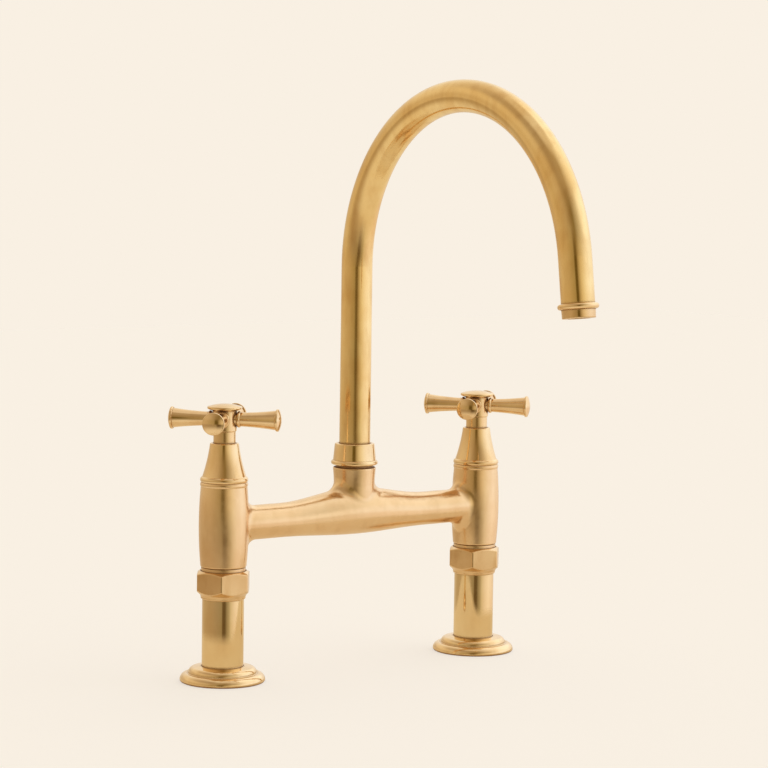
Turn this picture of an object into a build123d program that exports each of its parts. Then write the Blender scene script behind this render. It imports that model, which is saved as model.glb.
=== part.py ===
from build123d import *

import os
from math import cos, pi, radians, sin, sqrt, tan

# Bridge kitchen faucet: two deck columns carry a cast bridge body, whose arms run from the two
# valve barrels to a boss in the middle, and a gooseneck spout swivels on that boss.
# Millimetres. Z is up from the deck, X runs along the bridge, and the spout reaches towards -Y.
# The origin is on the deck, midway between the columns and under the riser of the spout.

# ---- driving dimensions ----------------------------------------------------------------------

# fits and gaps
running_fit = 0.05          # radial gap of a part that turns in another
thread_fit = 0.05           # radial gap between a screw thread and its nut, both drawn plain
loose_fit = 0.3             # radial gap round a moving part that doesn't bear on its neighbour
washer_fit = 0.2            # radial gap of a washer on its shank
end_float = 0.05            # axial gap beside a part that turns

# layout
inlet_centres = 203.2       # between the two columns, 8 inches
deck_thickness = 30.0       # counter that the shanks clamp

# flange on the deck
flange_radius = 27.2
flange_edge_round = 1.3
flange_cove = 0.6
flange_rim_height = 5.4
flange_step_radius = 21.7
flange_step_height = 9.3
flange_crown_radius = 18.3
flange_height = 10.0
flange_lip_thickness = 2.0
gasket_inner_radius = 17.0
gasket_outer_radius = 23.0
gasket_thickness = 1.2

# leg
leg_radius = 13.3
leg_bore_radius = 8.0
leg_length = 57.4
leg_socket_depth = 14.0
leg_shoulder_radius = 14.1
leg_shoulder_height = 2.5

# union nut and its washer
union_lip_height = 3.8
union_lip_radius = 14.3
union_lip_round = 0.9
union_height = 18.1
union_hex_height = 15.2
union_across_flats = 32.2
union_corner_round = 1.2
union_chamfer_angle = 28.0
union_foot_chamfer = 1.6    # how much steeper the corners are turned off at the foot than on top
union_washer_thickness = 1.5

# barrel of the bridge body
spigot_thread_radius = 14.5
spigot_thread_length = 8.5
spigot_neck_radius = 14.2
spigot_neck_length = 3.8
barrel_bottom_radius = 14.0
barrel_edge_round = 1.4
barrel_belly_radius = 15.85
barrel_belly_above_bottom = 22.9
barrel_top_radius = 14.8
barrel_height = 54.5
bead_radius = 15.2
bead_height = 2.8
bead_groove_radius = 14.6
bead_step = 0.7
inlet_bore_radius = 6.5

# bridge arms and the boss in the middle
arm_axis_above_barrel_bottom = 27.0
arm_radius = 11.05
arm_belly_radius = 15.3
arm_belly_lift = 2.3        # how far the swelling rises off the arms' axis in the middle
arm_belly_length = 118.0
arm_section_count = 5       # round sections from the middle to each end of the belly
arm_bore_radius = 6.5
arm_barrel_fillet = 8.0
boss_waist_radius = 13.4
boss_waist_above_axis = 19.7
boss_top_radius = 14.05
boss_height = 31.2
boss_edge_round = 0.8
boss_arm_fillet = 9.0
boss_thread_radius = 12.0
boss_thread_height = 11.9
boss_bore_radius = 9.0

# valve cartridge
seat_below_axis = 12.0
chamber_radius = 9.6
cartridge_thread_radius = 10.25
cartridge_thread_length = 13.0
bonnet_socket_radius = 12.3
bonnet_socket_depth = 7.8
cartridge_collar_height = 2.0
cartridge_hex_across_flats = 17.5
cartridge_hex_height = 5.0
cartridge_neck_radius = 6.0
cartridge_neck_height = 5.0
cartridge_sleeve_radius = 9.2
cartridge_sleeve_wall = 1.1
window_width = 8.0
seal_thickness = 2.0
seal_inner_radius = 6.2
fixed_disc_thickness = 3.0
moving_disc_thickness = 3.5
disc_gap = 0.1
port_pitch_radius = 4.6
port_width = 3.2
port_sweep = 60.0
driver_thickness = 3.0
spindle_radius = 4.0
spindle_flat = 3.2
o_ring_section = 1.0
o_ring_pitch = 5.0
o_ring_groove_depth = 1.05
key_length = 8.0
key_width = 2.4
key_depth = 1.0
spindle_clip_radius = 6.0
spindle_clip_thickness = 0.8
spindle_clip_depth = 0.7

# bonnet
bonnet_height = 24.7
bonnet_foot_radius = 13.95
bonnet_top_radius = 9.25
bonnet_hollow = 0.6
bonnet_edge_round = 0.7
bonnet_skirt_wall = 1.3
bonnet_neck_wall_height = 4.5

# handle
hub_neck_radius = 7.1
hub_neck_insert = 3.0
hub_neck_height = 7.5
hub_radius = 7.7
hub_height = 13.0
hub_edge_break = 0.4
hub_web = 2.5
hub_cavity_radius = 4.4
spindle_engagement = 7.5
cap_radius = 11.15
cap_rim_height = 1.9
cap_flare_height = 1.0
cap_dome_height = 1.6
cap_spigot_length = 2.0
handle_angles = {"left": 45.0, "right": 40.6}     # how each closed handle was left standing
spoke_count = 4
spoke_axis_above_shoulder = 7.7
spoke_length = 36.4         # from the handle's axis to the end of the dome
spoke_stud_length = 1.7
spoke_stud_radius = 2.5
spoke_seat_radius = 6.5     # from the handle's axis to the flat that the spoke bears on
spoke_foot_radius = 4.0
spoke_flare_depth = 0.3
spoke_lip_round = 0.6
spoke_root_radius = 4.4
spoke_tip_radius = 6.25
spoke_ring_radius = 5.2
spoke_ring_place_radius = 9.3
spoke_ring_length = 2.2
spoke_lip_radius = 7.1
spoke_lip_thickness = 1.8
spoke_dome_height = 1.5
screw_radius = 2.0
screw_head_radius = 3.6
screw_head_height = 3.0
screw_head_round = 0.8
screw_length = 10.0
screw_socket_across_flats = 2.5
screw_socket_depth = 1.8

# spout
spout_radius = 10.15
spout_wall = 1.0
spout_arc_radius = 109.3
spout_spring_height = 262.9
spout_end_lean = 7.5        # the straight end leans out past the bend
spout_end_length = 36.0     # from the bend to the rim of the mouth
mouth_height = 5.4
mouth_top_radius = 10.25
mouth_bottom_radius = 10.05
mouth_thread_length = 6.0
mouth_bore_radius = 7.6
mouth_edge_round = 0.5
outlet_bead_radius = 12.4
outlet_bead_height = 3.4
outlet_ring_lip = 0.4
insert_height = 7.0
insert_recess = 0.8
insert_lip = 0.6
insert_holes_per_ring = 6
insert_hole_radius = 0.85
insert_ring_spacing_radius = 2.6
aerator_washer_thickness = 1.5

# spout collar, swivel and its seals
collar_gap = 1.6
collar_height = 14.1
collar_top_radius = 13.1
collar_foot_radius = 14.1
collar_bead_radius = 15.4
collar_bead_height = 3.0
collar_edge_round = 0.9
bush_wall = 1.4
bush_length = 10.0
bush_flange_thickness = 0.8
clip_thickness = 1.0
clip_radius = 11.4
clip_groove_depth = 0.9
clip_gap_angle = 40.0
journal_length = 38.0
fitting_bore_radius = 6.0
fitting_insert_length = 11.0
spout_o_ring_section = 1.5
spout_o_ring_groove_depth = 1.55
spout_o_ring_pitch = 9.0
spout_o_ring_below_bush = 5.0

# shank and what clamps the deck
shank_radius = 10.8
shank_bore_radius = 6.5
shank_free_length = 14.0
hose_thread_radius = 10.45  # half-inch pipe thread that takes the supply hose's nut
hose_thread_length = 12.0
thread_lead = 1.0
deck_washer_radius = 22.0
deck_washer_thickness = 3.0
clamp_washer_radius = 19.0
clamp_washer_thickness = 2.0
mounting_nut_across_flats = 32.0
mounting_nut_height = 8.0
nut_chamfer = 1.2

# ---- sizes that follow -----------------------------------------------------------------------

leg_bottom = flange_lip_thickness
leg_top = leg_bottom + leg_length
union_seat = leg_top - leg_shoulder_height
union_bottom = union_seat - union_lip_height
union_top = union_bottom + union_height
spigot_bottom = leg_top + union_washer_thickness
barrel_bottom = spigot_bottom + spigot_thread_length + spigot_neck_length
barrel_top = barrel_bottom + barrel_height
bridge_axis_height = barrel_bottom + arm_axis_above_barrel_bottom
boss_top = bridge_axis_height + boss_height
boss_waist_height = bridge_axis_height + boss_waist_above_axis
boss_thread_top = boss_top + boss_thread_height

seat_height = bridge_axis_height - seat_below_axis
collar_seat = barrel_top - bonnet_socket_depth
thread_bottom = collar_seat - cartridge_thread_length
fixed_disc_bottom = seat_height + seal_thickness
moving_disc_bottom = fixed_disc_bottom + fixed_disc_thickness
driver_bottom = moving_disc_bottom + moving_disc_thickness
driver_top = driver_bottom + driver_thickness
cartridge_hex_bottom = collar_seat + cartridge_collar_height
cartridge_neck_bottom = cartridge_hex_bottom + cartridge_hex_height
cartridge_top = cartridge_neck_bottom + cartridge_neck_height
chamber_roof = thread_bottom - cartridge_sleeve_wall
disc_bore_radius = cartridge_sleeve_radius - cartridge_sleeve_wall
spindle_o_ring_heights = [thread_bottom + o_ring_pitch * step for step in (1, 2)]
clip_groove_middle = cartridge_top + end_float + spindle_clip_thickness / 2

bonnet_top = barrel_top + bonnet_height
hub_bottom = bonnet_top - hub_neck_insert
hub_shoulder = bonnet_top + hub_neck_height
hub_top = hub_shoulder + hub_height
spindle_top = hub_bottom + spindle_engagement
web_bottom = spindle_top + end_float
web_top = web_bottom + hub_web
spoke_axis_height = hub_shoulder + spoke_axis_above_shoulder

collar_bottom = boss_top + collar_gap
collar_top = collar_bottom + collar_height
bush_top = boss_thread_top + bush_flange_thickness
clip_bottom = bush_top + end_float
clip_top = clip_bottom + clip_thickness
collar_shoulder = clip_top + end_float
tube_bottom = collar_shoulder + spout_radius - boss_bore_radius
bush_bottom = boss_thread_top - bush_length
journal_radius = boss_bore_radius - running_fit
fitting_bottom = bush_top - journal_length
spout_o_ring_heights = [bush_bottom - spout_o_ring_below_bush - spout_o_ring_pitch * step
                        for step in (0, 1)]

bend_sweep = 180 - spout_end_lean
lean_out = sin(radians(spout_end_lean))
lean_down = cos(radians(spout_end_lean))
bend_end_y = -spout_arc_radius * (1 + lean_down)
bend_end_height = spout_spring_height + spout_arc_radius * lean_out
mouth_y = bend_end_y - spout_end_length * lean_out
mouth_centre_height = bend_end_height - spout_end_length * lean_down
mouth_up = Vector(0, lean_out, lean_down)
mouth_centre = Vector(0, mouth_y, mouth_centre_height)
aerator_top = mouth_height + mouth_thread_length
insert_radius = mouth_bore_radius - thread_fit
shank_top = leg_bottom + leg_socket_depth - end_float
washer_top = -deck_thickness
clamp_washer_top = washer_top - deck_washer_thickness
mounting_nut_top = clamp_washer_top - clamp_washer_thickness
mounting_nut_bottom = mounting_nut_top - mounting_nut_height
shank_bottom = mounting_nut_bottom - shank_free_length

column_centres = {"left": -inlet_centres / 2, "right": inlet_centres / 2}
union_turns = {"left": -7.0, "right": -12.0}    # how far each hexagon was left turned when tightened

os.makedirs("parts", exist_ok=True)


def profile_plane(centre_x):
    """Upright plane through a vertical axis: local x is the radius, local y the height."""
    return Plane(origin=(centre_x, 0, 0), x_dir=(1, 0, 0), z_dir=(0, -1, 0))


def upright_axis(centre_x):
    return Axis((centre_x, 0, 0), (0, 0, 1))


def level_plane(centre_x, height):
    return Plane(origin=(centre_x, 0, height))


def hexagon_corner_radius(across_flats):
    return across_flats / sqrt(3)


def tube_block(centre_x, bottom, top, inner_radius, outer_radius):
    """A plain ring between two heights, such as a washer."""
    with BuildPart() as block:
        with BuildSketch(level_plane(centre_x, bottom)):
            Circle(outer_radius)
            Circle(inner_radius, mode=Mode.SUBTRACT)
        extrude(amount=top - bottom)
    return block


def save(builder, name):
    builder.part.label = name
    export_step(builder.part, f"parts/{name}.step")


def arm_swell(section_x):
    """Share of its full swelling that the arm has there: 1 in the middle, 0 past the belly."""
    reach = min(abs(section_x) / (arm_belly_length / 2), 1)
    return (1 + cos(pi * reach)) / 2


def spoke_angles(first_angle):
    return [first_angle + 360.0 * step / spoke_count for step in range(spoke_count)]


def spoke_plane(centre_x, angle):
    """Plane that holds a spoke's axis: local x runs outwards along the spoke, local y up."""
    outward = (cos(radians(angle)), sin(radians(angle)), 0)
    sideways = (sin(radians(angle)), -cos(radians(angle)), 0)
    return Plane(origin=(centre_x, 0, spoke_axis_height), x_dir=outward, z_dir=sideways)


# ---- bridge body: one hollow brass casting ---------------------------------------------------
# The arms swell and rise towards the middle, where they flow into the boss, and the waterways meet
# inside.

with BuildPart() as bridge_body:
    for centre_x in column_centres.values():
        with BuildSketch(profile_plane(centre_x)):
            with BuildLine():
                Line((0, spigot_bottom), (spigot_thread_radius, spigot_bottom))
                Line((spigot_thread_radius, spigot_bottom),
                     (spigot_thread_radius, spigot_bottom + spigot_thread_length))
                Line((spigot_thread_radius, spigot_bottom + spigot_thread_length),
                     (spigot_neck_radius, spigot_bottom + spigot_thread_length))
                Line((spigot_neck_radius, spigot_bottom + spigot_thread_length),
                     (spigot_neck_radius, barrel_bottom))
                Line((spigot_neck_radius, barrel_bottom),
                     (barrel_bottom_radius - barrel_edge_round / 2, barrel_bottom))
                RadiusArc((barrel_bottom_radius - barrel_edge_round / 2, barrel_bottom),
                          (barrel_bottom_radius + barrel_edge_round / 2,
                           barrel_bottom + barrel_edge_round), -barrel_edge_round)
                ThreePointArc((barrel_bottom_radius + barrel_edge_round / 2,
                               barrel_bottom + barrel_edge_round),
                              (barrel_belly_radius, barrel_bottom + barrel_belly_above_bottom),
                              (barrel_top_radius, barrel_top - bead_height))
                ThreePointArc((barrel_top_radius, barrel_top - bead_height),
                              (bead_radius, barrel_top - bead_height / 2),
                              (bead_groove_radius, barrel_top))
                Line((bead_groove_radius, barrel_top), (0, barrel_top))
                Line((0, barrel_top), (0, spigot_bottom))
            make_face()
        revolve(axis=upright_axis(centre_x))
    section_spacing = arm_belly_length / 2 / arm_section_count
    for step in range(-arm_section_count - 1, arm_section_count + 2):
        section_x = section_spacing * step
        section_height = bridge_axis_height + arm_belly_lift * arm_swell(section_x)
        section_radius = arm_radius + (arm_belly_radius - arm_radius) * arm_swell(section_x)
        with BuildSketch(Plane(origin=(section_x, 0, section_height), x_dir=(0, 0, -1), z_dir=(1, 0, 0))):
            Circle(section_radius)
    loft()
    straight_start = section_spacing * (arm_section_count + 1)
    for way in (-1, 1):
        with BuildSketch(Plane(origin=(way * straight_start, 0, bridge_axis_height), z_dir=(way, 0, 0))):
            Circle(arm_radius)
    extrude(amount=inlet_centres / 2 - straight_start)
    barrel_seams = bridge_body.edges(Select.NEW).filter_by(GeomType.BSPLINE)
    fillet(barrel_seams, arm_barrel_fillet)
    with BuildSketch(profile_plane(0)):
        with BuildLine():
            Line((0, bridge_axis_height), (boss_waist_radius, bridge_axis_height))
            Line((boss_waist_radius, bridge_axis_height), (boss_waist_radius, boss_waist_height))
            TangentArc((boss_waist_radius, boss_waist_height),
                       (boss_top_radius, boss_top - boss_edge_round), tangent=(0, 1))
            RadiusArc((boss_top_radius, boss_top - boss_edge_round),
                      (boss_top_radius - boss_edge_round, boss_top), -boss_edge_round)
            Line((boss_top_radius - boss_edge_round, boss_top), (boss_thread_radius, boss_top))
            Line((boss_thread_radius, boss_top), (boss_thread_radius, boss_thread_top))
            Line((boss_thread_radius, boss_thread_top), (0, boss_thread_top))
            Line((0, boss_thread_top), (0, bridge_axis_height))
        make_face()
    revolve(axis=Axis.Z)
    boss_seams = bridge_body.edges(Select.NEW).filter_by(GeomType.BSPLINE)
    fillet(boss_seams, boss_arm_fillet)
    for centre_x in column_centres.values():
        with BuildSketch(profile_plane(centre_x)):
            with BuildLine():
                Polyline((0, spigot_bottom), (inlet_bore_radius, spigot_bottom),
                         (inlet_bore_radius, seat_height), (chamber_radius, seat_height),
                         (chamber_radius, thread_bottom),
                         (cartridge_thread_radius + thread_fit, thread_bottom),
                         (cartridge_thread_radius + thread_fit, collar_seat),
                         (bonnet_socket_radius, collar_seat), (bonnet_socket_radius, barrel_top),
                         (0, barrel_top), close=True)
            make_face()
        revolve(axis=upright_axis(centre_x), mode=Mode.SUBTRACT)
    with BuildSketch(profile_plane(0)):
        with BuildLine():
            Polyline((0, bridge_axis_height), (boss_bore_radius, bridge_axis_height),
                     (boss_bore_radius, bush_bottom),
                     (boss_bore_radius + bush_wall + thread_fit, bush_bottom),
                     (boss_bore_radius + bush_wall + thread_fit, boss_thread_top),
                     (0, boss_thread_top), close=True)
        make_face()
    revolve(axis=Axis.Z, mode=Mode.SUBTRACT)
    with BuildSketch(Plane(origin=(0, 0, bridge_axis_height), z_dir=(1, 0, 0))):
        Circle(arm_bore_radius)
    extrude(amount=inlet_centres / 2 - chamber_radius / 2, both=True, mode=Mode.SUBTRACT)
save(bridge_body, "bridge_body")

# ---- columns: what stands on the deck under each valve ----------------------------------------

def make_flange(centre_x):
    """Turned escutcheon: a round rim, a second round step and a dished crown round the leg."""
    rim_inner = flange_step_radius + flange_cove
    with BuildPart() as flange:
        with BuildSketch(profile_plane(centre_x)):
            with BuildLine():
                Line((shank_radius + loose_fit, 0), (flange_radius - flange_edge_round, 0))
                TangentArc((flange_radius - flange_edge_round, 0), (flange_radius, flange_edge_round),
                           tangent=(1, 0))
                TangentArc((flange_radius, flange_edge_round), (rim_inner, flange_rim_height),
                           tangent=(0, 1))
                TangentArc((rim_inner, flange_rim_height),
                           (flange_step_radius, flange_rim_height + flange_cove), tangent=(-1, 0))
                TangentArc((flange_step_radius, flange_rim_height + flange_cove),
                           (flange_crown_radius, flange_step_height), tangent=(0, 1))
                Line((flange_crown_radius, flange_step_height),
                     (leg_radius + washer_fit, flange_height))
                Line((leg_radius + washer_fit, flange_height),
                     (leg_radius + washer_fit, flange_lip_thickness))
                Line((leg_radius + washer_fit, flange_lip_thickness),
                     (shank_radius + loose_fit, flange_lip_thickness))
                Line((shank_radius + loose_fit, flange_lip_thickness), (shank_radius + loose_fit, 0))
            make_face()
        revolve(axis=upright_axis(centre_x))
        with BuildSketch(level_plane(centre_x, 0)):
            Circle(gasket_outer_radius + thread_fit)
            Circle(gasket_inner_radius - thread_fit, mode=Mode.SUBTRACT)
        extrude(amount=gasket_thickness, mode=Mode.SUBTRACT)
    return flange


def make_leg(centre_x):
    """Turned tube: its foot is tapped for the shank, its head has the shoulder the nut pulls on."""
    with BuildPart() as leg:
        with BuildSketch(level_plane(centre_x, leg_bottom)):
            Circle(leg_radius)
        extrude(amount=leg_length)
        with BuildSketch(level_plane(centre_x, union_seat)):
            Circle(leg_shoulder_radius)
        extrude(amount=leg_shoulder_height)
        with BuildSketch(level_plane(centre_x, leg_bottom)):
            Circle(leg_bore_radius)
        extrude(amount=leg_length, mode=Mode.SUBTRACT)
        with BuildSketch(level_plane(centre_x, leg_bottom)):
            Circle(shank_radius + thread_fit)
        extrude(amount=leg_socket_depth, mode=Mode.SUBTRACT)
    return leg


def make_union_nut(centre_x, turn):
    """Hexagon with soft corners over a round stepped shoulder, bored to turn on the leg."""
    hex_bottom = union_top - union_hex_height
    corner_radius = hexagon_corner_radius(union_across_flats)
    chamfer_width = corner_radius - union_across_flats / 2 + union_corner_round
    chamfer_rise = chamfer_width * tan(radians(union_chamfer_angle))
    cone_radius = corner_radius - chamfer_width
    shoulder_step = (hex_bottom + union_bottom) / 2
    with BuildPart() as union_nut:
        with BuildSketch(level_plane(centre_x, hex_bottom)):
            RegularPolygon(union_across_flats / 2, 6, major_radius=False, rotation=turn)
        extrude(amount=union_hex_height)
        fillet(union_nut.edges().filter_by(Axis.Z), union_corner_round)
        with BuildSketch(profile_plane(centre_x)):
            with BuildLine():
                Polyline((0, hex_bottom), (cone_radius, hex_bottom),
                         (corner_radius, hex_bottom + chamfer_rise * union_foot_chamfer),
                         (corner_radius, union_top - chamfer_rise), (cone_radius, union_top),
                         (0, union_top), close=True)
            make_face()
        revolve(axis=upright_axis(centre_x), mode=Mode.INTERSECT)
        with BuildSketch(profile_plane(centre_x)):
            with BuildLine():
                Line((0, union_bottom), (union_lip_radius - union_lip_round, union_bottom))
                TangentArc((union_lip_radius - union_lip_round, union_bottom),
                           (union_lip_radius, union_bottom + union_lip_round), tangent=(1, 0))
                Line((union_lip_radius, union_bottom + union_lip_round),
                     (union_lip_radius, shoulder_step))
                Line((union_lip_radius, shoulder_step), (cone_radius, hex_bottom))
                Line((cone_radius, hex_bottom), (0, hex_bottom))
                Line((0, hex_bottom), (0, union_bottom))
            make_face()
        revolve(axis=upright_axis(centre_x))
        with BuildSketch(level_plane(centre_x, union_bottom)):
            Circle(leg_radius + running_fit)
        extrude(amount=union_height, mode=Mode.SUBTRACT)
        with BuildSketch(level_plane(centre_x, union_seat)):
            Circle(spigot_thread_radius + thread_fit)
        extrude(amount=union_top - union_seat, mode=Mode.SUBTRACT)
    return union_nut


def make_shank(centre_x):
    """Hollow threaded tail that passes through the deck and takes the supply hose."""
    with BuildPart() as shank:
        with BuildSketch(level_plane(centre_x, shank_bottom)):
            Circle(hose_thread_radius)
        extrude(amount=hose_thread_length)
        chamfer(shank.edges().sort_by(Axis.Z)[0], thread_lead)
        with BuildSketch(level_plane(centre_x, shank_bottom + hose_thread_length)):
            Circle(shank_radius)
        extrude(amount=shank_top - shank_bottom - hose_thread_length)
        with BuildSketch(level_plane(centre_x, shank_bottom)):
            Circle(shank_bore_radius)
        extrude(amount=shank_top - shank_bottom, mode=Mode.SUBTRACT)
    return shank


def make_mounting_nut(centre_x):
    """Plain hexagon backnut, its corners turned off at both ends."""
    corner_radius = hexagon_corner_radius(mounting_nut_across_flats)
    cone_radius = mounting_nut_across_flats / 2
    with BuildPart() as mounting_nut:
        with BuildSketch(level_plane(centre_x, mounting_nut_bottom)):
            RegularPolygon(mounting_nut_across_flats / 2, 6, major_radius=False)
        extrude(amount=mounting_nut_height)
        with BuildSketch(profile_plane(centre_x)):
            with BuildLine():
                Polyline((0, mounting_nut_bottom), (cone_radius, mounting_nut_bottom),
                         (corner_radius, mounting_nut_bottom + nut_chamfer),
                         (corner_radius, mounting_nut_top - nut_chamfer),
                         (cone_radius, mounting_nut_top), (0, mounting_nut_top), close=True)
            make_face()
        revolve(axis=upright_axis(centre_x), mode=Mode.INTERSECT)
        with BuildSketch(level_plane(centre_x, mounting_nut_bottom)):
            Circle(shank_radius + thread_fit)
        extrude(amount=mounting_nut_height, mode=Mode.SUBTRACT)
    return mounting_nut


# ---- valve: quarter-turn ceramic cartridge in each barrel --------------------------------------

def make_cartridge_body(centre_x):
    """Brass headwork: a windowed sleeve round the discs, a thread, a collar, a hexagon, a neck."""
    sleeve_bottom = seat_height + seal_thickness / 2
    with BuildPart() as cartridge_body:
        with BuildSketch(profile_plane(centre_x)):
            with BuildLine():
                Polyline((0, sleeve_bottom), (cartridge_sleeve_radius, sleeve_bottom),
                         (cartridge_sleeve_radius, thread_bottom),
                         (cartridge_thread_radius, thread_bottom),
                         (cartridge_thread_radius, collar_seat),
                         (bonnet_socket_radius - washer_fit, collar_seat),
                         (bonnet_socket_radius - washer_fit, cartridge_hex_bottom),
                         (cartridge_neck_radius, cartridge_hex_bottom),
                         (cartridge_neck_radius, cartridge_top), (0, cartridge_top), close=True)
            make_face()
        revolve(axis=upright_axis(centre_x))
        with BuildSketch(level_plane(centre_x, cartridge_hex_bottom)):
            RegularPolygon(cartridge_hex_across_flats / 2, 6, major_radius=False)
        extrude(amount=cartridge_hex_height)
        with BuildSketch(level_plane(centre_x, sleeve_bottom)):
            Circle(disc_bore_radius)
        extrude(amount=chamber_roof - sleeve_bottom, mode=Mode.SUBTRACT)
        with BuildSketch(level_plane(centre_x, chamber_roof)):
            Circle(spindle_radius + running_fit)
        extrude(amount=cartridge_top - chamber_roof, mode=Mode.SUBTRACT)
        window_middle = (driver_bottom + chamber_roof) / 2
        for facing in (Plane.XZ, Plane.YZ):
            with BuildSketch(Plane(origin=(centre_x, 0, window_middle), x_dir=facing.x_dir,
                                   z_dir=facing.z_dir)):
                Rectangle(window_width, chamber_roof - driver_bottom)
            extrude(amount=cartridge_thread_radius, both=True, mode=Mode.SUBTRACT)
    return cartridge_body


def make_spindle(centre_x):
    """Turned stem: a keyed driver over the disc, two seal grooves, a clip groove, flats on top."""
    with BuildPart() as spindle:
        with BuildSketch(level_plane(centre_x, driver_bottom)):
            Circle(disc_bore_radius - loose_fit)
        extrude(amount=driver_thickness)
        with BuildSketch(level_plane(centre_x, driver_bottom - key_depth)):
            Rectangle(key_length, key_width)
        extrude(amount=key_depth)
        with BuildSketch(level_plane(centre_x, driver_top)):
            Circle(spindle_radius)
        extrude(amount=spindle_top - driver_top)
        with BuildSketch(profile_plane(centre_x)):
            for height in spindle_o_ring_heights:
                with Locations((spindle_radius, height)):
                    Rectangle(2 * o_ring_groove_depth, o_ring_section + 2 * thread_fit)
            with Locations((spindle_radius, clip_groove_middle)):
                Rectangle(2 * spindle_clip_depth, spindle_clip_thickness + 2 * end_float)
        revolve(axis=upright_axis(centre_x), mode=Mode.SUBTRACT)
        with BuildSketch(level_plane(centre_x, spindle_top - spindle_engagement)):
            for way in (-1, 1):
                with Locations((0, way * (spindle_flat + spindle_radius / 2))):
                    Rectangle(2 * spindle_radius, spindle_radius)
        extrude(amount=spindle_engagement, mode=Mode.SUBTRACT)
        with BuildSketch(level_plane(centre_x, web_top - screw_length)):
            Circle(screw_radius + thread_fit)
        extrude(amount=screw_length, mode=Mode.SUBTRACT)
    return spindle


def make_spindle_o_rings(centre_x):
    with BuildPart() as spindle_o_rings:
        with BuildSketch(profile_plane(centre_x)):
            for height in spindle_o_ring_heights:
                with Locations((spindle_radius - o_ring_section / 2, height)):
                    Circle(o_ring_section / 2)
        revolve(axis=upright_axis(centre_x))
    return spindle_o_rings


def make_spindle_clip(centre_x):
    """Open spring ring that hooks in the spindle's groove above the cartridge."""
    inner_radius = spindle_radius - spindle_clip_depth + thread_fit
    with BuildPart() as spindle_clip:
        with BuildSketch(profile_plane(centre_x)):
            with Locations(((inner_radius + spindle_clip_radius) / 2, clip_groove_middle)):
                Rectangle(spindle_clip_radius - inner_radius, spindle_clip_thickness)
        revolve(axis=upright_axis(centre_x), revolution_arc=360 - clip_gap_angle)
    return spindle_clip


def make_disc(centre_x, bottom, thickness, radius, key_slot):
    """Ceramic disc with two kidney ports; the moving one has a slot on top for the driver's key."""
    with BuildPart() as disc:
        with BuildSketch(level_plane(centre_x, bottom)):
            Circle(radius)
            for start in (-port_sweep / 2, 180 - port_sweep / 2):
                SlotArc(CenterArc((0, 0), port_pitch_radius, start, port_sweep), port_width,
                        mode=Mode.SUBTRACT)
        extrude(amount=thickness)
        if key_slot:
            with BuildSketch(level_plane(centre_x, bottom + thickness - key_depth)):
                Rectangle(key_length + 2 * thread_fit, key_width + 2 * thread_fit)
            extrude(amount=key_depth, mode=Mode.SUBTRACT)
    return disc


# ---- bonnet and cross handle -------------------------------------------------------------------

def make_bonnet(centre_x):
    """Bell-shaped cover: a threaded skirt, a bead on the joint, then a slightly hollow cone."""
    foot_height = barrel_top + bead_height + bead_step
    skirt_radius = bonnet_socket_radius - thread_fit
    bore_radius = hub_neck_radius + loose_fit
    cone_middle = ((bonnet_foot_radius + bonnet_top_radius) / 2 - bonnet_hollow,
                   (foot_height + bonnet_top) / 2)
    with BuildPart() as bonnet:
        with BuildSketch(profile_plane(centre_x)):
            with BuildLine():
                Line((skirt_radius - bonnet_skirt_wall, cartridge_hex_bottom),
                     (skirt_radius, cartridge_hex_bottom))
                Line((skirt_radius, cartridge_hex_bottom), (skirt_radius, barrel_top))
                Line((skirt_radius, barrel_top), (bead_groove_radius, barrel_top))
                ThreePointArc((bead_groove_radius, barrel_top),
                              (bead_radius, barrel_top + bead_height / 2 + bead_step),
                              (bonnet_foot_radius, foot_height))
                ThreePointArc((bonnet_foot_radius, foot_height), cone_middle,
                              (bonnet_top_radius, bonnet_top - bonnet_edge_round))
                RadiusArc((bonnet_top_radius, bonnet_top - bonnet_edge_round),
                          (bonnet_top_radius - bonnet_edge_round, bonnet_top), -bonnet_edge_round)
                Line((bonnet_top_radius - bonnet_edge_round, bonnet_top), (bore_radius, bonnet_top))
                Line((bore_radius, bonnet_top), (bore_radius, bonnet_top - bonnet_neck_wall_height))
                Line((bore_radius, bonnet_top - bonnet_neck_wall_height),
                     (skirt_radius - bonnet_skirt_wall, foot_height))
                Line((skirt_radius - bonnet_skirt_wall, foot_height),
                     (skirt_radius - bonnet_skirt_wall, cartridge_hex_bottom))
            make_face()
        revolve(axis=upright_axis(centre_x))
    return bonnet


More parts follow.
